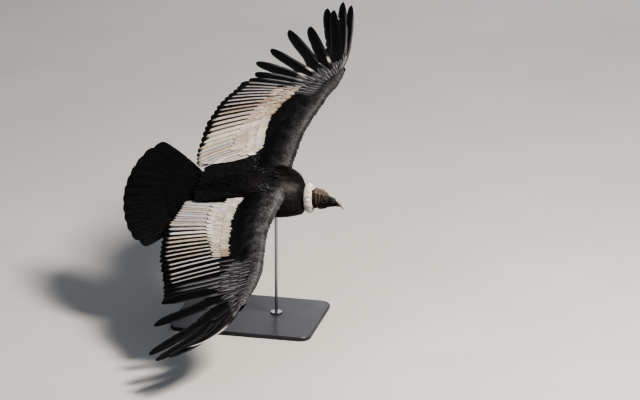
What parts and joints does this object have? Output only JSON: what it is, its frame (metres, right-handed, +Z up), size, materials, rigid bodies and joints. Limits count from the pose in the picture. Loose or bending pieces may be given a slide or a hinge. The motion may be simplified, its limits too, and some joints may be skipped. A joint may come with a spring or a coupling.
{
  "type": "andean condor model",
  "caption": "Life-size still model of a male Andean condor gliding in a banked turn, wings spread, held over a flat display stand by upright rods.",
  "frame": {"origin": "middle of the underside of the display stand's base, on the floor", "axes": "+Z up, +X the way the bird heads, +Y towards its raised left wing"},
  "size_m": [1.1922, 2.5095, 1.3717],
  "materials": {
    "plumage": "black feather vanes with a faint satin sheen",
    "down": "soft matte white down",
    "bare_skin": "bare wrinkled skin, semi-matte",
    "bill_horn": "worn ivory horn, satin",
    "scaled_skin": "dry grey scaled skin",
    "eye": "wet, glossy",
    "stand_paint": "charcoal satin paint",
    "stand_steel": "brushed"
  },
  "bodies": {
    "root": {"torso": "plumage", "tail": "plumage", "wing_left_arm": "plumage", "wing_left_hand": "plumage", "wing_right_arm": "plumage", "wing_right_hand": "plumage", "neck": "bare_skin", "head": "bare_skin", "bill_upper": "bill_horn", "bill_lower": "bill_horn", "eye_left": "eye", "eye_right": "eye", "ruff": "down", "leg_left": "plumage", "leg_right": "plumage", "foot_left": "scaled_skin", "foot_right": "scaled_skin", "stand_base": "stand_paint", "stand_rod_front": "stand_steel", "stand_rod_rear": "stand_steel"}
  },
  "joints": []
}
